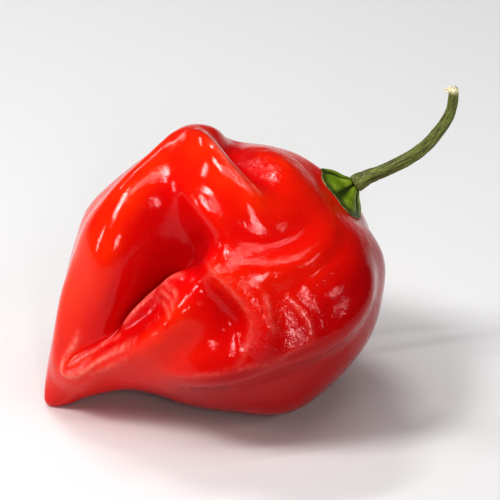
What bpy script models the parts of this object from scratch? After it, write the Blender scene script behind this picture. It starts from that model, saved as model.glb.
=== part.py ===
"""Habanero pepper lying on a flat surface: the fruit, its calyx and its stem."""

import math

import bmesh
import bpy
import numpy as np
from mathutils import Vector
from mathutils.bvhtree import BVHTree

MM = 0.001
MERGE_DISTANCE = 1e-6

# Where the fruit lies: +X runs to the stem end, -Y to the front, +Z up
SEAT = np.array([15.4, 5.9, 34.1])
TIP = np.array([-33.6, -4.0, 0.6])
FACE_LIFT = 28.0

# Four outlines from the calyx seat to the tip, as (along the axis, out from it) in mm
CROWN = [(0, 0), (1.1, 4.9), (3.2, 9.7), (7, 14.5), (11.5, 20.0), (16, 22.8), (22, 23.2), (29, 22.9),
         (35, 21.8), (40, 18.4), (45, 14.2), (50.5, 9.0), (54.6, 5.2), (57.5, 2.2), (59.1, 0)]
FACE = [(0, 0), (0.8, 3), (1.8, 6), (3.6, 12), (7.8, 18), (15, 21.5), (25, 21.5), (35, 18.5), (43, 13.5),
        (50, 8.0), (56, 3.6), (58.6, 1.4), (59.1, 0)]
UNDER = [(0, 0), (0.7, 4.5), (0.2, 8.5), (0.9, 12.6), (4, 16.9), (10, 21.8), (18.4, 24.2), (27, 24.0),
         (34.3, 19.2), (39.5, 14.6), (43, 9.9), (46.5, 6.5), (52.5, 3.7), (56, 2.8), (58.6, 1.5), (59.1, 0)]
BACK = [(0, 0), (0.2, 6), (2.0, 12), (7.0, 17), (15, 20), (25, 20), (35, 17.5), (43, 13.0),
        (50, 8.0), (56, 3.6), (58.6, 1.4), (59.1, 0)]

FRUIT_SIDES = 76
FRUIT_RINGS = 56
BRUSH_SPACING = 0.4

# Folds of the skin as strokes of a round brush: how far it lifts the skin, how far the brush reaches and
# how far it pushes the skin towards the crown, in mm, then the points that it passes, as (percent of
# the way from calyx to tip, degrees round from the crown, strength)
FOLDS = {
    "left rim": (1.6, 3.4, 0, [(31, 10, 0.9), (39, 23, 1), (46, 28, 1), (52, 30, 0.9), (59, 33, 0.7),
        (67, 35, 0.7), (74, 38, 1), (81, 44, 1.1), (89, 52, 0.5)]),
    "hump": (1.7, 4.2, 0, [(29.3, -10, 0.7), (29.3, 12, 1)]),
    "hump shoulder": (1.8, 2.4, 0, [(27.2, -6, 0.6), (27.2, 8, 1), (27.2, 20, 0.6)]),
    "rim swell": (2, 4.2, -1.6, [(44, 29, 0.3), (49, 35, 0.7), (54, 41, 1), (59, 48, 1.1), (64, 53, 1.2),
        (68.5, 58, 1.2), (73, 62, 1.1), (78, 66, 0.8), (84, 66, 0.4)]),
    "wide hollow": (-8.4, 5.8, 0, [(43.5, 47, 0.3), (46, 55, 0.75), (49, 62, 1), (53.5, 67, 1),
        (60.5, 70.5, 0.9), (68.5, 72, 0.6), (77, 70, 0.35), (84, 66, 0.15)]),
    "main valley": (-1.8, 3.4, 0, [(44, 66, 0.3), (48, 69, 0.8), (53, 72, 1), (58, 73, 1), (63, 74, 0.9),
        (69, 74, 0.6), (76, 72, 0.3)]),
    "valley foot": (-2, 2, 0, [(48, 73, 0.5), (54, 75, 1), (61, 75.5, 1), (67, 76, 1), (73, 76, 0.3)]),
    "fold crest": (2.6, 1.5, 1.4, [(49.5, 78, 0.4), (53, 79, 1), (56, 79.5, 1), (62, 80, 1), (68, 81, 0.9),
        (72, 81, 0.3)]),
    "lip": (2.4, 3, 0.5, [(90, 78, 0.6), (85, 84, 1), (79, 90, 1), (68, 95, 1), (60, 96, 1), (55, 93, 0.9),
        (51, 86, 0.7)]),
    "lip groove": (-1.2, 1.6, 0, [(76, 82, 0.4), (69, 86.5, 1), (62, 87, 1), (57, 85, 0.5)]),
    "mid ridge": (2, 2.5, 0, [(42.5, 78, 0.4), (43.8, 84, 0.9), (43.6, 92, 1), (43, 101, 1),
        (41.8, 108, 1.2), (42.3, 114, 1.2), (46, 121, 1)]),
    "panel valley": (-2.8, 3.3, 0, [(46.5, 86, 0.4), (46.5, 93, 0.8), (46.3, 102, 1), (46.5, 109, 1.1),
        (49, 115, 0.9), (52.5, 118, 0.4)]),
    "knob": (1, 2.8, 0, [(40.2, 91, 1), (38.8, 95, 1)]),
    "arm": (1.2, 3.6, 0, [(39.5, 96, 1), (36, 100, 1), (33, 103, 1), (30.5, 105, 1), (27.5, 106, 1),
        (24.5, 107, 1), (21, 108, 0.9), (17, 110, 0.6)]),
    "arm valley": (-0.9, 2.8, 0, [(36.5, 57, 0.3), (35.3, 68, 0.8), (34.5, 79, 1), (33.5, 87, 1),
        (31, 91.5, 1), (27.4, 94.5, 1), (24.3, 94.5, 0.9), (20, 93, 0.4)]),
    "shoulder ridge": (2.2, 2.8, 0, [(32.5, 22, 1), (31.8, 39, 1.5), (31, 49, 1.25), (30.4, 58, 0.9),
        (29.6, 66, 0.75), (29, 73, 0.7)]),
    "inner ridge": (1.6, 2.8, 0, [(39.8, 44, 0.4), (39.5, 54, 1), (39, 61, 1), (38.5, 69, 1),
        (37.6, 75, 0.8)]),
    "inner groove": (-2.8, 3.2, 0, [(50, 76, 0.4), (48, 75, 0.9), (45.5, 72, 1), (43, 69, 1), (42, 75, 0.7),
        (40.5, 79, 0.4)]),
    "notch": (-2.8, 3.2, 0, [(26, -12, 0.7), (26, 8, 1.3), (25.2, 30, 1.15), (24.3, 50, 0.8),
        (23.3, 64, 0.4)]),
    "stem lobe": (1.3, 4.4, 0, [(18, 20, 0.6), (18, 40, 1), (18, 56, 1), (16, 75, 0.8)]),
    "window lobe": (1.6, 4.4, 0, [(38, 117, 0.8), (35, 121, 1), (32, 125, 0.9), (27, 128, 0.6)]),
    "low valley": (-0.7, 2.4, 0, [(36.5, 109, 0.3), (33.4, 112, 0.7), (31, 113.5, 1), (28, 115, 1.4),
        (25, 116.5, 1.6), (21, 118, 1.4), (16, 119, 0.5)]),
    "low ridge": (1.6, 3, 0, [(32.4, 116, 0.7), (30, 117.5, 1), (27, 120, 1), (23, 122, 1),
        (18, 124, 0.6)]),
    "turning edge": (3, 3.8, 0, [(66, 116, 0.4), (60, 120, 0.8), (54, 123, 1), (48, 125, 1),
        (41, 129.5, 1.1), (33, 135, 1.25), (25, 139, 1), (18, 141, 0.4)]),
    "front foot": (0.7, 7, 0, [(60, 162, 0.8), (52, 166, 1), (42, 168, 0.6)]),
    "back foot": (4.9, 4.7, 0, [(58, -118, 0.5), (53, -120, 1), (47, -122, 1), (42, -122, 0.6)]),
    "back valley": (-3.4, 4.2, 0, [(20, -75, 0.4), (30, -80, 1), (44, -86, 1), (58, -92, 0.9),
        (72, -100, 0.5), (84, -104, 0.2)]),
    "back rim": (1.4, 3.4, 0, [(18, -112, 0.4), (30, -114, 1), (44, -114, 1), (58, -116, 0.8),
        (74, -120, 0.4)]),
    "back side fold": (-2.6, 3, 0, [(34, -28, 0.5), (40, -42, 1), (43, -58, 1), (41, -74, 0.6)]),
    "back knob": (1.6, 3.4, 0, [(30, -48, 0.8), (26, -60, 1), (24, -72, 0.6)]),
    "back crease": (-1.6, 2.2, 0, [(8, -38, 0.5), (16, -36, 1), (25, -30, 1), (31, -22, 0.5)]),
    "back slope fold": (-2, 3.8, 0, [(46, -22, 0.5), (56, -32, 1), (66, -42, 1), (78, -56, 0.6),
        (88, -70, 0.3)]),
    "back lobe": (1.4, 4.6, 0, [(48, -50, 0.7), (58, -60, 1), (70, -74, 0.8)]),
    "low back crease": (-1.4, 2.6, 0, [(28, -134, 0.4), (36, -130, 1), (42, -140, 0.8)]),
    "belly crease": (-2.8, 3.6, 0, [(10, -150, 0.4), (22, -153, 0.8), (36, -153, 1), (50, -150, 1),
        (62, -148, 1), (74, -148, 0.7)]),
}

# Calyx: a low cap on the seat, as (share of the rim's radius, rise in mm above the fruit)
CALYX_RADIUS = 5.05
CALYX_GAP = 0.35
CALYX_OUTLINE = [(0, 1.9), (0.12, 1.9), (0.24, 1.9), (0.32, 1.8), (0.42, 1.55), (0.54, 1.3),
                 (0.68, 1.1), (0.82, 0.9), (0.94, 0.6), (1.0, 0.3), (0.96, 0.0), (0.6, 0), (0.3, 0),
                 (0, 0)]
CALYX_SEPALS = 5
CALYX_WAVE = 0.05
CALYX_RIB = 0.10
CALYX_TURN = 54
CALYX_SIDES = 50
CALYX_RINGS = 24
ABOVE_SEAT = 10

# Stem: points from its foot on the calyx, as (to the right, up the picture, to the front) in mm from
# the seat, with the radius there
STEM_ROUTE = [(2.35, 1.65, 0.34, 1.4), (3.9, 2.4, 0.6, 1.15), (6.0, 3.2, 1.0, 1.04),
              (9.8, 4.95, 1.5, 1.08), (12.9, 7.1, 2.05, 1.0), (15.8, 10.6, 2.9, 0.92),
              (17.1, 13.4, 3.7, 0.82), (17.4, 16.4, 4.6, 0.78)]
STEM_RIBS = 5
STEM_RIB_HEIGHT = 0.07
STEM_TWIST = 80


def smooth_line(points, per_span=12):
    """A Catmull-Rom curve through the points, as an array of closely spaced ones."""
    p = np.asarray(points, float)
    p = np.vstack([2 * p[0] - p[1], p, 2 * p[-1] - p[-2]])
    out = []
    for a, b, c, d in zip(p, p[1:], p[2:], p[3:]):
        for t in np.arange(per_span) / per_span:
            out.append(0.5 * (2 * b + (c - a) * t + (2 * a - 5 * b + 4 * c - d) * t**2
                              + (3 * b - a - 3 * c + d) * t**3))
    out.append(p[-2])
    return np.array(out)


def at_share(line, share):
    """The points at these shares of a line's length."""
    steps = np.linalg.norm(np.diff(line, axis=0), axis=1)
    reached = np.concatenate([[0], np.cumsum(steps)]) / steps.sum()
    return np.stack([np.interp(share, reached, line[:, k]) for k in range(line.shape[1])], axis=-1)


def fruit_axes():
    """Unit vectors from seat to tip, to the crown side and to the face side."""
    down_axis = (TIP - SEAT) / np.linalg.norm(TIP - SEAT)
    lift = math.radians(FACE_LIFT)
    face = np.array([0, -math.cos(lift), math.sin(lift)])
    face = face - face @ down_axis * down_axis
    face /= np.linalg.norm(face)
    return down_axis, np.cross(down_axis, face), face


def smooth_skin(way, turn):
    """Points of the fruit without its folds. way is 0 at the calyx and 1 at the tip."""
    down_axis, crown, face = fruit_axes()
    angle = np.radians(turn)
    once, across, twice = np.cos(angle) / 2, np.sin(angle) / 2, np.cos(2 * angle) / 4
    shares = {"crown": 0.25 + once + twice, "face": 0.25 + across - twice,
              "under": 0.25 - once + twice, "back": 0.25 - across - twice}
    outlines = {"crown": CROWN, "face": FACE, "under": UNDER, "back": BACK}
    length = np.linalg.norm(TIP - SEAT)
    total = 0
    for side, outline in outlines.items():
        line = smooth_line(outline) * [length / outline[-1][0], 1]
        total = total + shares[side][..., None] * at_share(line, way)
    along, out = total[..., 0:1], total[..., 1:2]
    around = np.cos(angle)[..., None] * crown + np.sin(angle)[..., None] * face
    return SEAT + along * down_axis + out * around


def skin_normals(way, turn):
    """Directions straight out of the smooth skin."""
    step = 0.004
    low, high = np.clip(way - step, 0.002, 1), np.clip(way + step, 0, 0.998)
    lengthwise = smooth_skin(high, turn) - smooth_skin(low, turn)
    inner = np.clip(way, 0.004, 0.996)
    sideways = smooth_skin(inner, turn + 1) - smooth_skin(inner, turn - 1)
    out = np.cross(lengthwise, sideways)
    return out / np.linalg.norm(out, axis=-1, keepdims=True)


def crown_side(way, turn):
    """Directions along the smooth skin, straight round towards the crown."""
    inner = np.clip(way, 0.004, 0.996)
    side = smooth_skin(inner, turn - 1) - smooth_skin(inner, turn + 1)
    return side / np.linalg.norm(side, axis=-1, keepdims=True)


def folded(way, turn):
    """How far the folds move the skin, out from the smooth skin and towards the crown, in mm."""
    points = smooth_skin(way, turn)
    rises, leans = np.zeros(len(points)), np.zeros(len(points))
    for rise, reach, lean, stroke in FOLDS.values():
        line = smooth_line([(way / 100, turn, strength) for way, turn, strength in stroke])
        places = smooth_skin(line[:, 0], line[:, 1])
        steps = np.linalg.norm(np.diff(places, axis=0), axis=1)
        reached = np.concatenate([[0], np.cumsum(steps)])
        spacing = reached[-1] / math.ceil(reached[-1] / (BRUSH_SPACING * reach))
        dabs = np.arange(spacing / 2, reached[-1], spacing)
        rows = np.stack([np.interp(dabs, reached, column) for column in (*places.T, line[:, 2])], axis=-1)
        gap = points[:, None, :] - rows[None, :, :3]
        brush = np.exp(-(gap**2).sum(-1) / reach**2) @ rows[:, 3] * spacing / (reach * math.sqrt(math.pi))
        rises += rise * brush
        leans += lean * brush
    return rises, leans


def skin(way, turn):
    """Points of the finished skin, flat where it rests."""
    rises, leans = folded(way, turn)
    points = smooth_skin(way, turn) + rises[:, None] * skin_normals(way, turn)
    points += leans[:, None] * crown_side(way, turn)
    points[:, 2] = np.maximum(points[:, 2], 0)
    return points


def add_material(obj, name, colour, roughness):
    material = bpy.data.materials.new(name)
    material.use_nodes = True
    shader = material.node_tree.nodes["Principled BSDF"]
    shader.inputs["Base Color"].default_value = (*colour, 1)
    shader.inputs["Roughness"].default_value = roughness
    shader.inputs["Metallic"].default_value = 0
    obj.data.materials.append(material)


def make_fruit(sides=FRUIT_SIDES, rings=FRUIT_RINGS):
    mesh = bpy.data.meshes.new("fruit")
    shape = bmesh.new()
    bmesh.ops.create_uvsphere(shape, u_segments=sides, v_segments=rings, radius=1)
    ball = np.array([v.co for v in shape.verts], float)
    way = np.arccos(np.clip(ball[:, 2], -1, 1)) / math.pi
    turn = np.degrees(np.arctan2(ball[:, 1], ball[:, 0]))
    for vert, place in zip(shape.verts, skin(way, turn)):
        vert.co = place * MM
    shape.to_mesh(mesh)
    shape.free()
    fruit = bpy.data.objects.new("fruit", mesh)
    bpy.context.scene.collection.objects.link(fruit)
    mesh.shade_smooth()
    return fruit


def make_calyx(fruit, sides=CALYX_SIDES, rings=CALYX_RINGS):
    tree = BVHTree.FromPolygons([v.co / MM for v in fruit.data.vertices],
                                [tuple(f.vertices) for f in fruit.data.polygons])
    down_axis, crown, face = fruit_axes()
    shape = bmesh.new()
    bmesh.ops.create_uvsphere(shape, u_segments=sides, v_segments=rings, radius=1)
    ball = np.array([v.co for v in shape.verts], float)
    way = np.arccos(np.clip(ball[:, 2], -1, 1)) / math.pi
    angle = np.arctan2(ball[:, 1], ball[:, 0])
    rim_share, rise = at_share(smooth_line(CALYX_OUTLINE), way).T
    sepal = np.cos(CALYX_SEPALS * (angle - math.radians(CALYX_TURN)))
    rim = CALYX_RADIUS * (1 + CALYX_WAVE * sepal * rim_share)
    rise = rise * (1 + CALYX_RIB * sepal * np.sin(math.pi * np.clip(rim_share, 0, 1)))
    for vert, share, up, reach, turn in zip(shape.verts, rim_share, rise, rim, angle):
        foot = SEAT + share * reach * (math.cos(turn) * crown + math.sin(turn) * face)
        hit = tree.ray_cast(Vector(foot - ABOVE_SEAT * down_axis), Vector(down_axis))[0]
        vert.co = (Vector(hit) - Vector(down_axis) * (CALYX_GAP + up)) * MM
    mesh = bpy.data.meshes.new("calyx")
    shape.to_mesh(mesh)
    shape.free()
    calyx = bpy.data.objects.new("calyx", mesh)
    bpy.context.scene.collection.objects.link(calyx)
    mesh.shade_smooth()
    return calyx


def stem_places():
    lift = math.radians(FACE_LIFT)
    right = np.array([1, 0, 0])
    up = np.array([0, math.sin(lift), math.cos(lift)])
    front = np.array([0, -math.cos(lift), math.sin(lift)])
    route = smooth_line(STEM_ROUTE, 4)
    return SEAT + route[:, :1] * right + route[:, 1:2] * up + route[:, 2:3] * front, route[:, 3]


def make_stem():
    ring = bpy.data.curves.new("stem ring", "CURVE")
    spline = ring.splines.new("POLY")
    corners = 6 * STEM_RIBS
    spline.points.add(corners - 1)
    for index, point in enumerate(spline.points):
        angle = 2 * math.pi * index / corners
        radius = (1 + STEM_RIB_HEIGHT * math.cos(STEM_RIBS * angle)) * MM
        point.co = (radius * math.cos(angle), -radius * math.sin(angle), 0, 1)
    spline.use_cyclic_u = True
    profile = bpy.data.objects.new("stem ring", ring)
    curve = bpy.data.curves.new("stem", "CURVE")
    curve.dimensions = "3D"
    curve.bevel_mode = "OBJECT"
    curve.bevel_object = profile
    curve.use_fill_caps = True
    places, radii = stem_places()
    spline = curve.splines.new("POLY")
    spline.points.add(len(places) - 1)
    for index, point in enumerate(spline.points):
        point.co = (*(places[index] * MM), 1)
        point.radius = radii[index]
        point.tilt = math.radians(STEM_TWIST) * index / len(places)
    route = bpy.data.objects.new("stem route", curve)
    bpy.context.scene.collection.objects.link(route)
    mesh = bpy.data.meshes.new_from_object(route.evaluated_get(bpy.context.evaluated_depsgraph_get()))
    mesh.name = "stem"
    bpy.data.objects.remove(route)
    bpy.data.objects.remove(profile)
    shape = bmesh.new()
    shape.from_mesh(mesh)
    bmesh.ops.remove_doubles(shape, verts=shape.verts, dist=MERGE_DISTANCE)
    shape.to_mesh(mesh)
    shape.free()
    stem = bpy.data.objects.new("stem", mesh)
    bpy.context.scene.collection.objects.link(stem)
    return stem


def main():
    for obj in list(bpy.data.objects):
        bpy.data.objects.remove(obj)
    pepper = bpy.data.collections.new("habanero_pepper")
    bpy.context.scene.collection.children.link(pepper)
    fruit = make_fruit()
    calyx = make_calyx(fruit)
    stem = make_stem()
    for obj in (fruit, calyx, stem):
        bpy.context.scene.collection.objects.unlink(obj)
        pepper.objects.link(obj)
    add_material(fruit, "red skin", (0.72, 0.012, 0.008), 0.22)
    add_material(calyx, "green calyx", (0.05, 0.14, 0.01), 0.5)
    add_material(stem, "olive stem", (0.09, 0.11, 0.03), 0.6)


if __name__ == "__main__":
    main()
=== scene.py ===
# %% [markdown]
# # A habanero pepper
#
# A habanero is a hollow berry with a thin, waxy, deeply folded wall. A low green calyx caps its stem
# end, and a curved stalk grows out of the calyx to the place where it was torn off the plant.
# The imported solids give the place, the size and the large folds. Here the same forms are made fine
# enough for wrinkles, and each surface gets a material.

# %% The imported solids
import math

import bmesh
import bpy
import numpy as np
from mathutils import Matrix, Vector, noise
from mathutils.bvhtree import BVHTree


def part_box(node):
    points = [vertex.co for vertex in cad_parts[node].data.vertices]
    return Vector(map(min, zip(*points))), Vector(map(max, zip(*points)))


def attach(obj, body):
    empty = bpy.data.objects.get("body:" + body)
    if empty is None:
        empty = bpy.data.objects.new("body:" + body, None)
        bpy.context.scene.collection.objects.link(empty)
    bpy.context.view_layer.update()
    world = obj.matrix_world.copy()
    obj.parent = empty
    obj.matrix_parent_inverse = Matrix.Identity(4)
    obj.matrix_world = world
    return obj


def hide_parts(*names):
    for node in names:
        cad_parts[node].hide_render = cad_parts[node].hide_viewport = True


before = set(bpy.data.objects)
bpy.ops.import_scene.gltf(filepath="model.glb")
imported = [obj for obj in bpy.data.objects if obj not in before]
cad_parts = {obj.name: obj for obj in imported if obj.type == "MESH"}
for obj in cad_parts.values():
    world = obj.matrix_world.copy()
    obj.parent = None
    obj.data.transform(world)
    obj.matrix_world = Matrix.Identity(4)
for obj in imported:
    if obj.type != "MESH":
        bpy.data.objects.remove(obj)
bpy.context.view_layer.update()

MM = 0.001
print("packed nodes:", sorted(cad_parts))

# %% [markdown]
# ## Where the fruit lies
#
# The fruit lies on its side: the calyx end is up on the right and the tip rests on the table at the
# left. A fruit like this could be sculpted by hand, but a straight axis from the calyx's seat to the
# tip, with an outline on each side of it, keeps every change measurable. So we start with the two
# ends of that axis and with the side that is turned to the eye.

# %% Axis and sides
SEAT = np.array([15.4, 5.9, 34.1])
TIP = np.array([-33.6, -4.0, 0.6])
VIEW_HEIGHT = math.radians(28)
PICTURE_RIGHT = np.array([1, 0, 0])
PICTURE_UP = np.array([0, math.sin(VIEW_HEIGHT), math.cos(VIEW_HEIGHT)])
TO_EYE = np.array([0, -math.cos(VIEW_HEIGHT), math.sin(VIEW_HEIGHT)])

FRUIT_LENGTH = np.linalg.norm(TIP - SEAT)
AXIS = (TIP - SEAT) / FRUIT_LENGTH
FACE_SIDE = TO_EYE - TO_EYE @ AXIS * AXIS
FACE_SIDE /= np.linalg.norm(FACE_SIDE)
CROWN_SIDE = np.cross(AXIS, FACE_SIDE)
print("calyx to tip:", round(FRUIT_LENGTH, 1), "mm")

# %% [markdown]
# ## Four outlines
#
# Seen along its axis, the fruit is neither round nor even: it has a high crown, a flatter face and a
# full underside. One spun profile would make a turned wooden pepper, so four outlines, a quarter turn
# apart, are blended round the axis. Each is a few points, as distances along the axis and out from
# it in mm, with a smooth curve through them.

# %% The smooth fruit
CROWN = [(0, 0), (1.1, 4.9), (3.2, 9.7), (7, 14.5), (11.5, 20.0), (16, 22.8), (22, 23.2), (29, 22.9),
         (35, 21.8), (40, 18.4), (45, 14.2), (50.5, 9.0), (54.6, 5.2), (57.5, 2.2), (59.1, 0)]
FACE = [(0, 0), (0.8, 3), (1.8, 6), (3.6, 12), (7.8, 18), (15, 21.5), (25, 21.5), (35, 18.5), (43, 13.5),
        (50, 8.0), (56, 3.6), (58.6, 1.4), (59.1, 0)]
UNDER = [(0, 0), (0.7, 4.5), (0.2, 8.5), (0.9, 12.6), (4, 16.9), (10, 21.8), (18.4, 24.2), (27, 24.0),
         (34.3, 19.2), (39.5, 14.6), (43, 9.9), (46.5, 6.5), (52.5, 3.7), (56, 2.8), (58.6, 1.5), (59.1, 0)]
BACK = [(0, 0), (0.2, 6), (2.0, 12), (7.0, 17), (15, 20), (25, 20), (35, 17.5), (43, 13.0),
        (50, 8.0), (56, 3.6), (58.6, 1.4), (59.1, 0)]


def smooth_line(points, per_span=12):
    """A Catmull-Rom curve through the points, as an array of closely spaced ones."""
    p = np.asarray(points, float)
    p = np.vstack([2 * p[0] - p[1], p, 2 * p[-1] - p[-2]])
    out = []
    for a, b, c, d in zip(p, p[1:], p[2:], p[3:]):
        for t in np.arange(per_span) / per_span:
            out.append(0.5 * (2 * b + (c - a) * t + (2 * a - 5 * b + 4 * c - d) * t**2
                              + (3 * b - a - 3 * c + d) * t**3))
    out.append(p[-2])
    return np.array(out)


def at_share(line, share):
    """The points at these shares of a line's length."""
    steps = np.linalg.norm(np.diff(line, axis=0), axis=1)
    reached = np.concatenate([[0], np.cumsum(steps)]) / steps.sum()
    return np.stack([np.interp(share, reached, line[:, k]) for k in range(line.shape[1])], axis=-1)


def smooth_skin(way, turn):
    """Points without folds. way is 0 at the calyx and 1 at the tip, turn is in degrees from the crown."""
    angle = np.radians(turn)
    # The four weights add up to 1, and each is 1 on its own side and 0 on the other three.
    once, across, twice = np.cos(angle) / 2, np.sin(angle) / 2, np.cos(2 * angle) / 4
    sides = [(0.25 + once + twice, CROWN), (0.25 + across - twice, FACE),
             (0.25 - once + twice, UNDER), (0.25 - across - twice, BACK)]
    total = 0
    for part_of, outline in sides:
        line = smooth_line(outline) * [FRUIT_LENGTH / outline[-1][0], 1]
        total = total + part_of[..., None] * at_share(line, way)
    around = np.cos(angle)[..., None] * CROWN_SIDE + np.sin(angle)[..., None] * FACE_SIDE
    return SEAT + total[..., 0:1] * AXIS + total[..., 1:2] * around


BELLY_WAY = 0.45
crown, face, under, back = smooth_skin(np.full(4, BELLY_WAY), np.array([0, 90, 180, 270]))
print("crown to underside:", round(np.linalg.norm(crown - under), 1), "mm")
print("face to back:", round(np.linalg.norm(face - back), 1), "mm")

# %% [markdown]
# ## Folds
#
# The wall of a habanero sinks in between its inner ribs and wrinkles as it ripens. Sculpting by hand
# would do, but each fold is clearer, and can be changed alone, as one stroke of a round brush that
# runs along the skin: how far it lifts or sinks the skin, how far the brush reaches and how far it
# pushes the skin towards the crown, all in mm, and the points that it passes. A point is the percent
# of the way from calyx to tip, the degrees round from the crown, and the strength there.

# %% Large folds
FOLDS = {
    "left rim": (1.6, 3.4, 0, [(31, 10, 0.9), (39, 23, 1), (46, 28, 1), (52, 30, 0.9), (59, 33, 0.7),
        (67, 35, 0.7), (74, 38, 1), (81, 44, 1.1), (89, 52, 0.5)]),
    "hump": (1.7, 4.2, 0, [(29.3, -10, 0.7), (29.3, 12, 1)]),
    "hump shoulder": (1.8, 2.4, 0, [(27.2, -6, 0.6), (27.2, 8, 1), (27.2, 20, 0.6)]),
    "rim swell": (2, 4.2, -1.6, [(44, 29, 0.3), (49, 35, 0.7), (54, 41, 1), (59, 48, 1.1), (64, 53, 1.2),
        (68.5, 58, 1.2), (73, 62, 1.1), (78, 66, 0.8), (84, 66, 0.4)]),
    "wide hollow": (-8.4, 5.8, 0, [(43.5, 47, 0.3), (46, 55, 0.75), (49, 62, 1), (53.5, 67, 1),
        (60.5, 70.5, 0.9), (68.5, 72, 0.6), (77, 70, 0.35), (84, 66, 0.15)]),
    "main valley": (-1.8, 3.4, 0, [(44, 66, 0.3), (48, 69, 0.8), (53, 72, 1), (58, 73, 1), (63, 74, 0.9),
        (69, 74, 0.6), (76, 72, 0.3)]),
    "valley foot": (-2, 2, 0, [(48, 73, 0.5), (54, 75, 1), (61, 75.5, 1), (67, 76, 1), (73, 76, 0.3)]),
    "fold crest": (2.6, 1.5, 1.4, [(49.5, 78, 0.4), (53, 79, 1), (56, 79.5, 1), (62, 80, 1), (68, 81, 0.9),
        (72, 81, 0.3)]),
    "lip": (2.4, 3, 0.5, [(90, 78, 0.6), (85, 84, 1), (79, 90, 1), (68, 95, 1), (60, 96, 1), (55, 93, 0.9),
        (51, 86, 0.7)]),
    "lip groove": (-1.2, 1.6, 0, [(76, 82, 0.4), (69, 86.5, 1), (62, 87, 1), (57, 85, 0.5)]),
    "mid ridge": (2, 2.5, 0, [(42.5, 78, 0.4), (43.8, 84, 0.9), (43.6, 92, 1), (43, 101, 1),
        (41.8, 108, 1.2), (42.3, 114, 1.2), (46, 121, 1)]),
    "panel valley": (-2.8, 3.3, 0, [(46.5, 86, 0.4), (46.5, 93, 0.8), (46.3, 102, 1), (46.5, 109, 1.1),
        (49, 115, 0.9), (52.5, 118, 0.4)]),
    "knob": (1, 2.8, 0, [(40.2, 91, 1), (38.8, 95, 1)]),
    "arm": (1.2, 3.6, 0, [(39.5, 96, 1), (36, 100, 1), (33, 103, 1), (30.5, 105, 1), (27.5, 106, 1),
        (24.5, 107, 1), (21, 108, 0.9), (17, 110, 0.6)]),
    "arm valley": (-0.9, 2.8, 0, [(36.5, 57, 0.3), (35.3, 68, 0.8), (34.5, 79, 1), (33.5, 87, 1),
        (31, 91.5, 1), (27.4, 94.5, 1), (24.3, 94.5, 0.9), (20, 93, 0.4)]),
    "shoulder ridge": (2.2, 2.8, 0, [(32.5, 22, 1), (31.8, 39, 1.5), (31, 49, 1.25), (30.4, 58, 0.9),
        (29.6, 66, 0.75), (29, 73, 0.7)]),
    "inner ridge": (1.6, 2.8, 0, [(39.8, 44, 0.4), (39.5, 54, 1), (39, 61, 1), (38.5, 69, 1),
        (37.6, 75, 0.8)]),
    "inner groove": (-2.8, 3.2, 0, [(50, 76, 0.4), (48, 75, 0.9), (45.5, 72, 1), (43, 69, 1), (42, 75, 0.7),
        (40.5, 79, 0.4)]),
    "notch": (-2.8, 3.2, 0, [(26, -12, 0.7), (26, 8, 1.3), (25.2, 30, 1.15), (24.3, 50, 0.8),
        (23.3, 64, 0.4)]),
    "stem lobe": (1.3, 4.4, 0, [(18, 20, 0.6), (18, 40, 1), (18, 56, 1), (16, 75, 0.8)]),
    "window lobe": (1.6, 4.4, 0, [(38, 117, 0.8), (35, 121, 1), (32, 125, 0.9), (27, 128, 0.6)]),
    "low valley": (-0.7, 2.4, 0, [(36.5, 109, 0.3), (33.4, 112, 0.7), (31, 113.5, 1), (28, 115, 1.4),
        (25, 116.5, 1.6), (21, 118, 1.4), (16, 119, 0.5)]),
    "low ridge": (1.6, 3, 0, [(32.4, 116, 0.7), (30, 117.5, 1), (27, 120, 1), (23, 122, 1),
        (18, 124, 0.6)]),
    "turning edge": (3, 3.8, 0, [(66, 116, 0.4), (60, 120, 0.8), (54, 123, 1), (48, 125, 1),
        (41, 129.5, 1.1), (33, 135, 1.25), (25, 139, 1), (18, 141, 0.4)]),
    "front foot": (0.7, 7, 0, [(60, 162, 0.8), (52, 166, 1), (42, 168, 0.6)]),
    "back foot": (4.9, 4.7, 0, [(58, -118, 0.5), (53, -120, 1), (47, -122, 1), (42, -122, 0.6)]),
    "back valley": (-3.4, 4.2, 0, [(20, -75, 0.4), (30, -80, 1), (44, -86, 1), (58, -92, 0.9),
        (72, -100, 0.5), (84, -104, 0.2)]),
    "back rim": (1.4, 3.4, 0, [(18, -112, 0.4), (30, -114, 1), (44, -114, 1), (58, -116, 0.8),
        (74, -120, 0.4)]),
    "back side fold": (-2.6, 3, 0, [(34, -28, 0.5), (40, -42, 1), (43, -58, 1), (41, -74, 0.6)]),
    "back knob": (1.6, 3.4, 0, [(30, -48, 0.8), (26, -60, 1), (24, -72, 0.6)]),
    "back crease": (-1.6, 2.2, 0, [(8, -38, 0.5), (16, -36, 1), (25, -30, 1), (31, -22, 0.5)]),
    "back slope fold": (-2, 3.8, 0, [(46, -22, 0.5), (56, -32, 1), (66, -42, 1), (78, -56, 0.6),
        (88, -70, 0.3)]),
    "back lobe": (1.4, 4.6, 0, [(48, -50, 0.7), (58, -60, 1), (70, -74, 0.8)]),
    "low back crease": (-1.4, 2.6, 0, [(28, -134, 0.4), (36, -130, 1), (42, -140, 0.8)]),
    "belly crease": (-2.8, 3.6, 0, [(10, -150, 0.4), (22, -153, 0.8), (36, -153, 1), (50, -150, 1),
        (62, -148, 1), (74, -148, 0.7)]),
}
print("large folds:", len(FOLDS))

# %% [markdown]
# ## Wrinkles
#
# Over the folds lie fine creases, a millimetre or less across: the sharp edge of the inner fold with
# rings round its end, a puckered lip, and the thin edge where the face turns under. A bump map could
# draw them, but only real relief throws a highlight that holds from every side. So they are the same
# kind of stroke with a much smaller brush, kept apart because only this fine skin can hold them.

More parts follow.
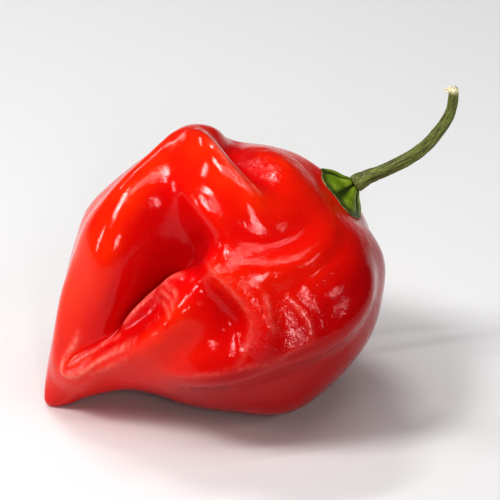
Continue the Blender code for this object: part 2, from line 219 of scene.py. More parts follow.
# %% Fine wrinkles
WRINKLES = {
    "crest edge": (0.14, 0.5, 0, [(70.5, 81.5, 0.4), (67.5, 82, 1), (63.8, 81, 1), (59.3, 80, 1),
        (56.4, 79, 1), (53.3, 79, 1), (50.2, 80, 0.5)]),
    "first ring": (0.3, 0.5, 0, [(56.3, 79, 0.3), (54.4, 81, 1), (53.2, 84.5, 1), (53.4, 88, 0.4)]),
    "second ring": (0.3, 0.5, 0, [(57.6, 81, 0.3), (55.7, 83.5, 1), (54.6, 87, 1), (54.6, 91, 0.4)]),
    "third ring": (0.28, 0.5, 0, [(59, 83.5, 0.3), (57, 86.5, 1), (56, 89.5, 1), (56, 93, 0.4)]),
    "fourth ring": (0.22, 0.6, 0, [(61.5, 84, 0.2), (59.5, 87, 1), (58.2, 91, 1), (58.2, 95, 0.3)]),
    "lip edge": (0.32, 0.55, 0, [(77.2, 56, 0.4), (80.5, 60, 1), (84, 65, 1), (86.2, 76, 1),
        (83.6, 86, 1), (78.7, 88, 1), (74.5, 90, 1), (70.8, 92, 1), (66, 93, 0.4)]),
    "inner lip": (0.26, 0.5, 0, [(83.5, 74, 0.4), (80.5, 74.5, 1), (77, 76.5, 1), (74.5, 80, 1),
        (71.5, 86, 0.6)]),
    "outer lip": (0.24, 0.7, 0, [(81, 93, 0.4), (77, 96, 1), (73, 98, 1), (69.5, 98, 0.5)]),
    "mid ridge edge": (0.22, 0.6, 0, [(44.4, 78, 0.4), (43.8, 85, 1), (43.1, 93, 1), (43.1, 101, 1),
        (43.6, 108, 1), (45, 114, 1), (47.8, 119, 1), (50.5, 122, 0.4)]),
    "left window bar": (0.26, 0.6, 0, [(38.4, 104, 0.4), (39.2, 109, 1), (40.7, 114, 1),
        (41.4, 119, 0.6)]),
    "right window bar": (0.26, 0.7, 0, [(35.6, 110, 0.5), (35.5, 117, 1), (35.8, 123, 1),
        (37.2, 128, 0.6)]),
    "under edge": (0.22, 0.6, 0, [(64.5, 115, 0.3), (61, 117, 1), (57, 119.5, 1), (53, 122, 1),
        (49, 124, 1), (45, 127, 1), (41, 127, 1), (37, 129, 0.4)]),
    "low ridge edge": (0.16, 0.6, 0, [(32.5, 113, 0.6), (29.5, 115, 1), (26, 117, 1), (20, 121, 0.5)]),
    "first shoulder line": (0.2, 0.5, 0, [(31.6, 36, 0.3), (30.8, 44, 1), (30.1, 52, 1), (29.5, 59, 1),
        (29, 68, 0.4)]),
    "second shoulder line": (0.2, 0.5, 0, [(28.9, 47, 0.3), (28.4, 53, 1), (27.8, 61, 1),
        (27.4, 69, 0.4)]),
    "top line": (0.14, 0.6, 0, [(38.2, 28, 0.5), (36, 26, 1), (33.8, 22, 0.6)]),
    "second top line": (0.14, 0.6, 0, [(32.8, 24, 0.5), (31, 24, 1), (29.3, 27, 0.6)]),
    "arm line": (-0.12, 0.5, 0, [(27.6, 66, 0.4), (27.1, 75, 1), (26.6, 83, 0.4)]),
    "shoulder line": (-0.14, 0.5, 0, [(21.6, 82, 0.4), (20.8, 92, 1), (19.3, 102, 0.4)]),
}
print("fine wrinkles:", len(WRINKLES))

# %% [markdown]
# ## Painted highlights and crinkled skin
#
# Pale painted highlights run along the sharpest edges, the ridges are pulled taut, and the slack wall
# between them is crinkled like crushed foil. A noise alone would scatter this evenly. So the brush that
# makes the folds also draws it as maps on the skin: how strong the painted highlight on each wrinkle
# is, and where the skin is more crinkled (strokes above 0) or more taut (below 0) than elsewhere.

# %% Maps on the skin
# Strength of the painted highlight along each wrinkle
PAINTED_HIGHLIGHTS = {"crest edge": 1, "first ring": 0.8, "second ring": 0.8, "third ring": 0.8, "lip edge": 1,
          "inner lip": 0.9, "outer lip": 0.5, "mid ridge edge": 0.35, "left window bar": 0.45,
          "right window bar": 0.45, "under edge": 0.25, "first shoulder line": 0.9,
          "second shoulder line": 0.9, "top line": 0.6, "second top line": 0.8}
HIGHLIGHT_REACH = 0.42
CRINKLED = {
    "upper lobe": (1.0, 5.6, 0, [(23, 30, 0.6), (20, 38, 1), (17, 50, 0.8)]),
    "window panel": (0.6, 4.5, 0, [(40, 112, 0.7), (39, 120, 1), (35, 127, 1)]),
    "mid ridge": (0.8, 2.6, 0, [(44, 88, 0.6), (43, 101, 1), (42, 112, 1), (46, 121, 1)]),
    "lip": (0.4, 3.5, 0, [(86, 84, 1), (72, 93, 1), (57, 88, 1)]),
    "shoulder ridge": (-0.7, 3.2, 0, [(32, 32, 1), (31, 49, 1), (29.5, 68, 0.8)]),
    "left rim": (-0.12, 5, 0, [(50, 28, 1), (66, 45, 1), (80, 58, 1)]),
}
EVEN_CRINKLE = 0.25
LEAST_CRINKLE = 0.08
MOST_CRINKLE = 1.3
# Number of wrinkles with painted highlights
print("rubbed edges:", len(PAINTED_HIGHLIGHTS))
print("crinkled or taut places:", len(CRINKLED))

# %% [markdown]
# ## The folded skin
#
# Where two folds cross, the skin carries both. So every stroke is laid down as a row of soft dabs,
# and each point of the smooth skin is moved by the sum of all the dabs near it. Displace modifiers
# could stack up in the same way, but a sum gives the same skin at any point that is asked for. The
# wall is also a little pebbled, which keeps its lights uneven.

# %% Directions on the smooth skin
WAY_STEP = 0.004
TURN_STEP = 1
POLE_GAP = 0.002


def away_from_crown(way, turn):
    """Short steps along the smooth skin, straight round away from the crown."""
    inner = np.clip(way, WAY_STEP, 1 - WAY_STEP)
    return smooth_skin(inner, turn + TURN_STEP) - smooth_skin(inner, turn - TURN_STEP)


def skin_normals(way, turn):
    """Directions straight out of the smooth skin."""
    low = np.clip(way - WAY_STEP, POLE_GAP, 1)
    high = np.clip(way + WAY_STEP, 0, 1 - POLE_GAP)
    out = np.cross(smooth_skin(high, turn) - smooth_skin(low, turn), away_from_crown(way, turn))
    return out / np.linalg.norm(out, axis=-1, keepdims=True)


def towards_crown(way, turn):
    """Directions along the smooth skin, straight round towards the crown."""
    side = -away_from_crown(way, turn)
    return side / np.linalg.norm(side, axis=-1, keepdims=True)


print("out of the crown:", skin_normals(np.array([BELLY_WAY]), np.array([0.0])).round(2))

# %% The brush
# The distance between two dabs, as a share of the brush's reach
BRUSH_SPACING = 0.4


def brushed(strokes, points):
    """How far the strokes lift these points, and how far they push them to the crown, both in mm."""
    rises = np.zeros(len(points))
    leans = np.zeros(len(points))
    for rise, reach, lean, stroke in strokes.values():
        line = smooth_line([(way / 100, turn, strength) for way, turn, strength in stroke])
        places = smooth_skin(line[:, 0], line[:, 1])
        reached = np.concatenate([[0], np.cumsum(np.linalg.norm(np.diff(places, axis=0), axis=1))])
        spacing = reached[-1] / math.ceil(reached[-1] / (BRUSH_SPACING * reach))
        dabs = np.arange(spacing / 2, reached[-1], spacing)
        rows = np.stack([np.interp(dabs, reached, column) for column in (*places.T, line[:, 2])], axis=-1)
        brush = np.zeros(len(points))
        for row in rows:
            brush += row[3] * np.exp(-((points - row[:3])**2).sum(-1) / reach**2)
        brush *= spacing / (reach * math.sqrt(math.pi))
        rises += rise * brush
        leans += lean * brush
    return rises, leans


HOLLOW_WAY = 0.535
HOLLOW_TURN = 67
hollow_lift = brushed(FOLDS, smooth_skin(np.array([HOLLOW_WAY]), np.array([HOLLOW_TURN])))[0][0]
print("depth of the hollow:", round(-hollow_lift, 1), "mm")

# %% The folded and wrinkled skin
# Both in mm
PEBBLE_SIZE = 1.9
PEBBLE_HEIGHT = 0.13


def pebbles(points):
    """Low, uneven bumps of the skin, in mm, from a fixed noise."""
    return PEBBLE_HEIGHT * np.array([noise.noise(Vector(p) / PEBBLE_SIZE) for p in points])


def highlight_share(way, turn):
    """How strong the painted highlight is, from 0 to 1, along the sharpest wrinkles."""
    edges = {name: (pale, HIGHLIGHT_REACH, 0, WRINKLES[name][3]) for name, pale in PAINTED_HIGHLIGHTS.items()}
    return np.clip(brushed(edges, smooth_skin(way, turn))[0], 0, 1)


def full_skin(way, turn):
    """Points of the finished skin, the lift of its large folds in mm, and how crinkled it is."""
    smooth = smooth_skin(way, turn)
    rises, leans = brushed(FOLDS, smooth)
    fine_rises = brushed(WRINKLES, smooth)[0]
    crinkle = np.clip(EVEN_CRINKLE + brushed(CRINKLED, smooth)[0], LEAST_CRINKLE, MOST_CRINKLE)
    lift = rises + fine_rises + crinkle * pebbles(smooth)
    points = smooth + lift[:, None] * skin_normals(way, turn)
    points += leans[:, None] * towards_crown(way, turn)
    return points, rises, crinkle


print("the tip lies at:", full_skin(np.array([1.0]), np.array([0.0]))[0].round(1), "mm")

# %% [markdown]
# ## The fruit
#
# The fruit is one closed wall from the calyx round to the tip. A grid wrapped round would need a seam,
# but a ball already has this form: one pole becomes the seat of the calyx and the other the tip. So a
# fine ball is made first and every vertex is then moved to its place on the skin. The imported box cuts
# the underside flat where the fruit rests. Below the edge where the face turns under, two slopes meet
# in a pinched crease, which is relaxed with a smoothing operator. The maps are kept as attributes for
# the material, with one more: how far each vertex lies towards the lit side, which steers the painted
# light on the upper crests and the painted shade underneath.

# %% Fruit mesh
FRUIT_SIDES = 320
FRUIT_RINGS = 240
# The lit side for the painted light and shade of the skin, the mm from full painted shade to full
# painted light, and the share of light at the axis
LIT_SIDE = CROWN_SIDE * 0.8 + FACE_SIDE * 0.2
LIT_SIDE_DEPTH = 16
LIT_SIDE_AT_AXIS = 0.45
# The pinched crease as a stroke, its reach in mm, and the least strength at which the skin is relaxed
SOFT_CREASE = [(64, 132, 0.6), (59, 135, 1), (54, 135, 1), (50, 134, 1), (45, 136, 1), (40, 141, 1),
               (36, 145, 1), (32, 150, 1), (28, 155, 0.6)]
SOFT_REACH = 1.6
SOFT_LEAST = 1 / 3
SOFT_ROUNDS = 30
SOFT_FACTOR = 0.5


def new_piece(name, shape):
    """A smooth-shaded object at the origin from a finished bmesh."""
    mesh = bpy.data.meshes.new(name)
    shape.to_mesh(mesh)
    shape.free()
    mesh.shade_smooth()
    piece = bpy.data.objects.new(name, mesh)
    bpy.context.scene.collection.objects.link(piece)
    return piece


def keep_attribute(piece, name, values):
    """Stores one number for each vertex, for the material to read."""
    attribute = piece.data.attributes.new(name, "FLOAT", "POINT")
    attribute.data.foreach_set("value", np.asarray(values, np.float32))


def ball(sides, rings):
    """A unit ball, with each vertex's share of the way from pole to pole and its turn in radians."""
    shape = bmesh.new()
    bmesh.ops.create_uvsphere(shape, u_segments=sides, v_segments=rings, radius=1)
    co = np.array([v.co for v in shape.verts], float)
    return shape, np.arccos(np.clip(co[:, 2], -1, 1)) / math.pi, np.arctan2(co[:, 1], co[:, 0])


def relax_crease(shape, smooth):
    """Evens out the vertices near the pinched crease, round after round."""
    share = brushed({"crease": (1, SOFT_REACH, 0, SOFT_CREASE)}, smooth)[0]
    slack = [vert for vert, value in zip(shape.verts, share) if value > SOFT_LEAST]
    for _ in range(SOFT_ROUNDS):
        bmesh.ops.smooth_vert(shape, verts=slack, factor=SOFT_FACTOR,
                              use_axis_x=True, use_axis_y=True, use_axis_z=True)
    return len(slack)


def make_fruit():
    """The finished fruit, with the maps that its material reads."""
    shape, way, turn = ball(FRUIT_SIDES, FRUIT_RINGS)
    turn = np.degrees(turn)
    points, lift, crinkle = full_skin(way, turn)
    low, high = (np.array(corner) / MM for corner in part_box("fruit"))
    points = np.clip(points, low, high)
    for vert, point in zip(shape.verts, points):
        vert.co = point * MM
    print("relaxed vertices:", relax_crease(shape, smooth_skin(way, turn)))
    fruit = new_piece("ripe_fruit", shape)
    keep_attribute(fruit, "lift", lift)
    keep_attribute(fruit, "crinkle", crinkle)
    keep_attribute(fruit, "highlight_lines", highlight_share(way, turn))
    lit_side = (points - SEAT) @ LIT_SIDE / LIT_SIDE_DEPTH + LIT_SIDE_AT_AXIS
    keep_attribute(fruit, "lit_side", np.clip(lit_side, 0, 1))
    return fruit


fruit = make_fruit()
print("fruit:", len(fruit.data.polygons), "faces")

# %% [markdown]
# ## The calyx
#
# The calyx is what is left of the flower: a low leathery cap whose lobes have grown together, with a
# groove between each two and a thin edge that lies on the fruit. A flat star wrapped on to the fruit
# would have no thickness, so it is made as the fruit is, from a ball. The ball is flattened on to the
# skin by a ray from above each vertex, so that its edge follows every dip below it.

# %% Calyx mesh
# In mm: its radius, how deep it sinks into the skin, and how far above the seat the rays start
CALYX_RADIUS = 5.05
CALYX_SINK = 0.08
RAY_START = 10
# Share of the radius and rise above the skin in mm, from the middle over the rim and back below
CALYX_OUTLINE = [(0, 2.2), (0.12, 2.2), (0.24, 2.15), (0.32, 2.0), (0.42, 1.7), (0.54, 1.45),
                 (0.68, 1.25), (0.82, 0.95), (0.94, 0.5), (1.0, 0.25), (1.0, 0.08), (0.9, 0),
                 (0.6, 0), (0.3, 0), (0, 0)]
CALYX_SIDES = 200
CALYX_RINGS = 120
CALYX_LOBES = 5
CALYX_TURN = math.radians(54)
# How much the lobes widen the rim and raise the leaf, as shares, and how blunt they are
LOBE_WAVE = 0.05
LOBE_SWELL = 0.32
LOBE_BLUNTNESS = 0.7
LOBE_MIDDLE = 0.7
# The height in mm of the small creases, and how many there are round the calyx and out to its rim
LEAF_CREASES = 0.06
CREASES_ROUND = 3
CREASES_OUT = 2


def make_calyx():
    """The calyx, laid on the finished fruit."""
    tree = BVHTree.FromPolygons([v.co / MM for v in fruit.data.vertices],
                                [tuple(f.vertices) for f in fruit.data.polygons])
    shape, way, angle = ball(CALYX_SIDES, CALYX_RINGS)
    rim_share, rise = at_share(smooth_line(CALYX_OUTLINE), way).T
    lobe = np.abs(np.cos(CALYX_LOBES / 2 * (angle - CALYX_TURN)))**LOBE_BLUNTNESS
    wave = np.cos(CALYX_LOBES * (angle - CALYX_TURN))
    radius = CALYX_RADIUS * (1 + LOBE_WAVE * wave * rim_share)
    midway = np.sin(math.pi * np.clip(rim_share, 0, 1))
    rise = rise * (1 + LOBE_SWELL * (lobe - LOBE_MIDDLE) * midway)
    for vert, share, up, reach, turn in zip(shape.verts, rim_share, rise, radius, angle):
        across, out = math.cos(turn), math.sin(turn)
        foot = SEAT + share * reach * (across * CROWN_SIDE + out * FACE_SIDE)
        hit = tree.ray_cast(Vector(foot - RAY_START * AXIS), Vector(AXIS))[0]
        crease = LEAF_CREASES * noise.noise(Vector((across * CREASES_ROUND, out * CREASES_ROUND,
                                                    share * CREASES_OUT)))
        vert.co = (hit - Vector(AXIS) * (up + crease * share - CALYX_SINK)) * MM
    calyx = new_piece("green_calyx", shape)
    keep_attribute(calyx, "rim", rim_share)
    keep_attribute(calyx, "lobe", lobe)
    return calyx


calyx = make_calyx()
print("calyx:", len(calyx.data.polygons), "faces")

# %% [markdown]
# ## The stalk
#
# The stalk is a green, woody stem with low ribs that wind a little round it. It widens to a knuckle
# where it meets the calyx, bends up, and ends in torn fibres. A bevelled curve would give an even
# tube, so instead a ring is extruded from place to place along the route, with ribs, bark lumps and
# thickness set at each ring.

# %% Stalk mesh
# Right, up the picture, towards the eye and radius, in mm from the seat
STALK_ROUTE = [(1.75, 1.25, 0.2, 1.46), (2.35, 1.62, 0.34, 1.42), (3.1, 2.0, 0.46, 1.3),
               (3.9, 2.4, 0.6, 1.17), (6.0, 3.2, 1.0, 1.04), (9.8, 4.95, 1.5, 1.08),
               (12.9, 7.1, 2.05, 1.0), (15.8, 10.6, 2.9, 0.92), (17.1, 13.4, 3.7, 0.82),
               (17.4, 16.3, 4.6, 0.78)]
STALK_SIDES = 60
STALK_RIBS = 5
STALK_RIB_HEIGHT = 0.07
STALK_TWIST = math.radians(80)
STALK_LUMPS = 0.07
LUMPS_ROUND = 1.6
LUMPS_ALONG = 0.8
# The torn end: its length in mm, how far its rim is torn back, on average and more or less from place
# to place, as shares of that length, how much thinner it is there, and the rim and pit of bare wood
TORN_LENGTH = 0.9
RAG_MIDDLE = 0.25
RAG_DEPTH = 0.7
RAGS_ROUND = 2.5
RAG_THINNING = 0.25
TORN_RIM = 0.3
TORN_PIT = 0.35
# Torn fibres, as (to the right, up the picture, to the eye) in mm from the torn end to the fibre's tip
SPLINTERS = [(-1.9, 0.35, 0.2), (-1.5, -0.35, 0.5), (-0.8, 0.75, -0.2), (-1.2, 0.1, -0.5),
             (0.1, 0.6, 0.3)]
SPLINTER_SIDES = 8
SPLINTER_RADIUS = 0.34
SPLINTER_TIP = 0.03
SPLINTER_SINK = 0.2
# Each cone is a little longer than its fibre and starts below the torn end, so that it grows out of it
SPLINTER_MIDDLE = 0.42
SPLINTER_STRETCH = 1.15


def stalk_rows():
    """Places along the stalk, with the radius, the length so far and the direction at each."""
    route = smooth_line(STALK_ROUTE)
    places = SEAT + route[:, :1] * PICTURE_RIGHT + route[:, 1:2] * PICTURE_UP + route[:, 2:3] * TO_EYE
    along = np.concatenate([[0], np.cumsum(np.linalg.norm(np.diff(places, axis=0), axis=1))])
    ahead = np.gradient(places, axis=0)
    return places, route[:, 3], along, ahead / np.linalg.norm(ahead, axis=1, keepdims=True)


def next_ring(shape, ring):
    """Extrudes the open rim of the tube. The new ring has the order of the old one."""
    rim = [shape.edges.get(pair) for pair in zip(ring, ring[1:] + ring[:1])]
    made = bmesh.ops.extrude_edge_only(shape, edges=rim)["geom"]
    made = {v for v in made if isinstance(v, bmesh.types.BMVert)}
    return [next(e.other_vert(v) for e in v.link_edges if e.other_vert(v) in made) for v in ring]


def add_splinters(shape, torn, end):
    """Thin tapered fibres that stand out of the torn end."""
    for right, up, near in SPLINTERS:
        reach = Vector(right * PICTURE_RIGHT + up * PICTURE_UP + near * TO_EYE)
        middle = Vector(end) + reach * SPLINTER_MIDDLE
        place = Matrix.Translation(middle * MM) @ reach.to_track_quat("Z", "Y").to_matrix().to_4x4()
        cone = bmesh.ops.create_cone(
            shape, cap_ends=True, segments=SPLINTER_SIDES, radius1=SPLINTER_RADIUS * MM,
            radius2=SPLINTER_TIP * MM, depth=reach.length * SPLINTER_STRETCH * MM, matrix=place)
        for vert in cone["verts"]:
            vert[torn] = 1


def make_stalk():
    """The stalk, with its torn end and the maps that its material reads."""
    places, radii, along, ahead = stalk_rows()
    shape = bmesh.new()
    grain = shape.verts.layers.float_vector.new("grain")
    torn = shape.verts.layers.float.new("torn")
    ring = bmesh.ops.create_circle(shape, cap_ends=True, segments=STALK_SIDES, radius=1)["verts"]
    turns = [math.atan2(v.co.y, v.co.x) for v in ring]
    side = np.cross(ahead[0], TO_EYE)
    for step, (place, radius, forward) in enumerate(zip(places, radii, ahead)):
        if step:
            ring = next_ring(shape, ring)
        side = side - side @ forward * forward
        side /= np.linalg.norm(side)
        other = np.cross(forward, side)
        twist = STALK_TWIST * along[step] / along[-1]
        end_share = np.clip(1 - (along[-1] - along[step]) / TORN_LENGTH, 0, 1)
        for vert, turn in zip(ring, turns):
            place_round = Vector((math.cos(turn), math.sin(turn), 0)) * LUMPS_ROUND
            rib = STALK_RIB_HEIGHT * math.cos(STALK_RIBS * (turn + twist))
            lump = STALK_LUMPS * noise.noise(place_round + Vector((0, 0, along[step] * LUMPS_ALONG)))
            rag = noise.noise(place_round * RAGS_ROUND)
            out = radius * (1 + rib + lump - RAG_THINNING * end_share * max(rag, 0))
            back = end_share * (RAG_MIDDLE + RAG_DEPTH * rag) * TORN_LENGTH * forward
            vert.co = (place - back + out * (math.cos(turn) * side + math.sin(turn) * other)) * MM
            vert[grain] = (math.cos(turn), math.sin(turn), along[step])
            vert[torn] = end_share
    cap = bmesh.ops.contextual_create(shape, geom=ring)["faces"]
    bmesh.ops.inset_individual(shape, faces=cap, thickness=TORN_RIM * MM, depth=-TORN_PIT * MM)
    add_splinters(shape, torn, places[-1] - SPLINTER_SINK * ahead[-1])
    bmesh.ops.recalc_face_normals(shape, faces=shape.faces)
    return new_piece("stalk", shape)


stalk = make_stalk()
print("stalk:", len(stalk.data.polygons), "faces")

# %% [markdown]
# ## Materials
#
# Colours are written as sRGB hex, as a paint chart would give them, and turned to linear light by one
# function. Another adds a node with its settings and its links. In a colour Mix node, socket 6 is the
# first colour, socket 7 the second, and output 2 the result. The numbers of each MapRange node stand
# above the function that uses them: it reads a value between From Min and From Max and gives one
# between To Min and To Max, which are 0 and 1 where nothing else is said.

# %% Material helpers


def linear(hex_colour):
    """An sRGB hex colour as linear red, green, blue and alpha."""
    channels = [int(hex_colour[i:i + 2], 16) / 255 for i in (1, 3, 5)]
    return (*[c / 12.92 if c <= 0.04045 else ((c + 0.055) / 1.055)**2.4 for c in channels], 1)


def add_node(tree, kind, values=(), links=(), **settings):
    """Adds a node with its own settings, the values of its sockets and the sockets that feed them."""
    node = tree.nodes.new(kind)
    for name, value in settings.items():
        setattr(node, name, value)
    for socket, value in dict(values).items():
        node.inputs[socket].default_value = value
    for socket, source in dict(links).items():
        tree.links.new(source, node.inputs[socket])
    return node


def new_material(name):
    """A material with its node tree and its Principled shader."""
    material = bpy.data.materials.new(name)
    material.use_nodes = True
    return material, material.node_tree, material.node_tree.nodes["Principled BSDF"]


print("a mid red in linear light:", [round(c, 3) for c in linear("#DC120C")])

# %% [markdown]
# ### Ripe skin
#
# The skin is a smooth cuticle under natural wax, over flesh coloured by carotene. One red would look
# like plastic, so its colour changes with place, mostly by painted light and shade: painted shade
# deepens it where the wall is folded in, painted light turns the lit upper crests orange, painted
# shade turns the underside crimson, and painted highlights run as pale pink lines along the sharpest
# edges. Blotches of about 6 mm make the change uneven.

# %% Skin colours
RIDGE_RED = linear("#DC120C")
# Darker red painted into the hollows as shade
HOLLOW_SHADE_RED = linear("#CC0A16")
# Orange painted on the lit upper crests as light
LIT_CREST_ORANGE = linear("#F23C0C")
# Crimson painted on the underside as shade
SHADED_CRIMSON = linear("#B4060E")
# Pale pink painted along the sharpest edges as highlights
HIGHLIGHT_PINK = linear("#F58A7C")
BLOTCH_SIZE = 6 * MM
HIGHLIGHT_GRAIN = 1.1 * MM
# Painted shade, from none on level skin to full in a hollow 6 mm deep, in mm of lift, a little
# uneven from blotch to blotch
HOLLOW_SHADE_RANGE = {"From Min": 0.5, "From Max": -6}
UNEVEN_FOLD = {"From Min": 0.35, "From Max": 0.65, "To Min": -0.2, "To Max": 0.2}
# Painted light: how much of the lit orange each blotch takes, and from which lift in mm a crest is orange
ORANGE_BLOTCH = {"From Min": 0.3, "From Max": 0.7, "To Min": 0.35, "To Max": 1}
ORANGE_CREST = {"From Min": -1.0, "From Max": 1.2}
# Painted shade: the share of light below which the skin turns to a shaded crimson
IN_SHADE = {"From Min": 0.3, "From Max": 0.0}
# How a fine grain breaks up the painted highlight lines
BROKEN_LINE = {"From Min": 0.35, "From Max": 0.6, "To Min": 0.3, "To Max": 0.85}


def reds_with_painted_light_and_shade(tree, blotches):
    """Ridge red with painted shade in the hollows and underneath, and painted orange light on lit crests.
    """
    lift = add_node(tree, "ShaderNodeAttribute", attribute_name="lift").outputs["Fac"]
    lit_side = add_node(tree, "ShaderNodeAttribute", attribute_name="lit_side").outputs["Fac"]
    # Painted shade: the red darkens towards the bottom of each hollow
    depth = add_node(tree, "ShaderNodeMapRange", HOLLOW_SHADE_RANGE, {"Value": lift})
    uneven = add_node(tree, "ShaderNodeMapRange", UNEVEN_FOLD, {"Value": blotches})
    hollow_shade = add_node(tree, "ShaderNodeMath", links={0: depth.outputs[0], 1: uneven.outputs[0]},
                         operation="ADD", use_clamp=True)
    reds = add_node(tree, "ShaderNodeMix", {6: RIDGE_RED, 7: HOLLOW_SHADE_RED}, {0: hollow_shade.outputs[0]},
                    data_type="RGBA")
    # Painted light: orange where a crest on the lit side meets an orange blotch
    patch = add_node(tree, "ShaderNodeMapRange", ORANGE_BLOTCH, {"Value": blotches})
    crest = add_node(tree, "ShaderNodeMapRange", ORANGE_CREST, {"Value": lift})
    ripe = add_node(tree, "ShaderNodeMath", links={0: lit_side, 1: patch.outputs[0]}, operation="MULTIPLY")
    ripe = add_node(tree, "ShaderNodeMath", links={0: ripe.outputs[0], 1: crest.outputs[0]},
                    operation="MULTIPLY")
    lit = add_node(tree, "ShaderNodeMix", {7: LIT_CREST_ORANGE}, {0: ripe.outputs[0], 6: reds.outputs[2]},
                   data_type="RGBA")
    # Painted shade: crimson away from the lit side
    shaded = add_node(tree, "ShaderNodeMapRange", IN_SHADE, {"Value": lit_side})
    return add_node(tree, "ShaderNodeMix", {7: SHADED_CRIMSON}, {0: shaded.outputs[0], 6: lit.outputs[2]},
                    data_type="RGBA").outputs[2]


def with_painted_highlights(tree, place, reds):
    """The reds with painted highlights as pale, broken lines along the sharpest edges."""
    highlight_lines = add_node(tree, "ShaderNodeAttribute", attribute_name="highlight_lines").outputs["Fac"]
    grain = add_node(tree, "ShaderNodeTexNoise", {"Scale": 1 / HIGHLIGHT_GRAIN, "Detail": 2},
                     {"Vector": place})
    broken = add_node(tree, "ShaderNodeMapRange", BROKEN_LINE, {"Value": grain.outputs["Fac"]})
    pale = add_node(tree, "ShaderNodeMath", links={0: highlight_lines, 1: broken.outputs[0]}, operation="MULTIPLY")
    return add_node(tree, "ShaderNodeMix", {7: HIGHLIGHT_PINK}, {0: pale.outputs[0], 6: reds},
                    data_type="RGBA").outputs[2]


print("blotches across the fruit:", round(FRUIT_LENGTH * MM / BLOTCH_SIZE))

# %% [markdown]
# ### Skin wax
#
# The skin is coated with clear wax, grown as a thin smooth film over the tight cuticle. Plant wax has
# an IOR of about 1.44, matched here to 1.42, and a low roughness, which gives the eye crisp lights. A
# bump breaks them up where the skin is crinkled. A clear coat over a rougher skin would do as well,
# but nothing under the wax is seen to shine. Real crinkles are too fine to show, so they are drawn
# about 1.3 mm across, as coarse as they need to be.

# %% Waxy skin
WAX_IOR = 1.42
WAX_ROUGHNESS = 0.12
CRINKLE_SIZE = 1.3 * MM
CRINKLE_DEPTH = 0.3 * MM


def waxy_skin():
    """Ripe habanero skin with its own wax."""
    material, tree, shader = new_material("waxy_red_skin")
    place = add_node(tree, "ShaderNodeTexCoord").outputs["Object"]
    blotches = add_node(tree, "ShaderNodeTexNoise", {"Scale": 1 / BLOTCH_SIZE, "Detail": 4},
                        {"Vector": place})
    colour = with_painted_highlights(tree, place, reds_with_painted_light_and_shade(tree, blotches.outputs["Fac"]))
    tree.links.new(colour, shader.inputs["Base Color"])
    crinkle = add_node(tree, "ShaderNodeAttribute", attribute_name="crinkle").outputs["Fac"]
    wrinkles = add_node(tree, "ShaderNodeTexNoise",
                        {"Scale": 1 / CRINKLE_SIZE, "Detail": 3, "Roughness": 0.6, "Distortion": 0.8},
                        {"Vector": place})
    height = add_node(tree, "ShaderNodeMath", links={0: wrinkles.outputs["Fac"], 1: crinkle},
                      operation="MULTIPLY")
    bump = add_node(tree, "ShaderNodeBump", {"Strength": 1, "Distance": CRINKLE_DEPTH},
                    {"Height": height.outputs[0]})
    tree.links.new(bump.outputs["Normal"], shader.inputs["Normal"])
    shader.inputs["Roughness"].default_value = WAX_ROUGHNESS
    shader.inputs["IOR"].default_value = WAX_IOR
    return material


fruit.data.materials.append(waxy_skin())
print("skin:", fruit.data.materials[0].name)

# %% [markdown]
# ### Green calyx
#
# The calyx is leaf tissue, grown tough and slightly waxy. One green would look painted, so it is
# bright on its lobes, with lighter patches of a millimetre or two, darkened by painted shade in the
# grooves and round the frayed rim where it lies on the fruit, and dried to a thin tan line at the very
# edge. It is duller than the skin, so its lights are broad and soft. Leaf and wood keep the shader's
# own IOR of 1.5, close to that of plant fibre.

# %% Calyx material
LOBE_GREEN = linear("#6E861A")
SUNLIT_GREEN = linear("#92A438")
# Dark green painted in the grooves and round the rim as shade
GROOVE_SHADE_GREEN = linear("#34440C")
EDGE_TAN = linear("#8E7E4E")
PATCH_SIZE = 1.6 * MM
SPECKLE_SIZE = 0.8 * MM
SPECKLE_DEPTH = 0.06 * MM
LEAF_ROUGHNESS = 0.42
# How far up a lobe the bright green starts, and which share of the patches is lighter
ON_LOBE = {"From Min": 0.35, "From Max": 0.75}
LIGHTER_PATCH = {"From Min": 0.42, "From Max": 0.66}
# The rim, as the share of the radius plus a ragged bit of speckle, and the parts of it darkened by
# painted shade and dried
FRAYED = 0.14
INSIDE_RIM = {"From Min": 1.05, "From Max": 0.92}
DRIED_EDGE = {"From Min": 1.05, "From Max": 1.075}


def leaf_green(tree, place, frayed):
    """Lobe greens with lighter patches, and painted shade in the grooves and near the rim."""
    lobe = add_node(tree, "ShaderNodeAttribute", attribute_name="lobe").outputs["Fac"]
    on_lobe = add_node(tree, "ShaderNodeMapRange", ON_LOBE, {"Value": lobe})
    patches = add_node(tree, "ShaderNodeTexNoise", {"Scale": 1 / PATCH_SIZE, "Detail": 3},
                       {"Vector": place})
    lighter = add_node(tree, "ShaderNodeMapRange", LIGHTER_PATCH, {"Value": patches.outputs["Fac"]})
    greens = add_node(tree, "ShaderNodeMix", {6: LOBE_GREEN, 7: SUNLIT_GREEN}, {0: lighter.outputs[0]},
                      data_type="RGBA")
    inside = add_node(tree, "ShaderNodeMapRange", INSIDE_RIM, {"Value": frayed})
    bright = add_node(tree, "ShaderNodeMath", links={0: on_lobe.outputs[0], 1: inside.outputs[0]},
                      operation="MULTIPLY")
    return add_node(tree, "ShaderNodeMix", {6: GROOVE_SHADE_GREEN}, {0: bright.outputs[0], 7: greens.outputs[2]},
                    data_type="RGBA").outputs[2]


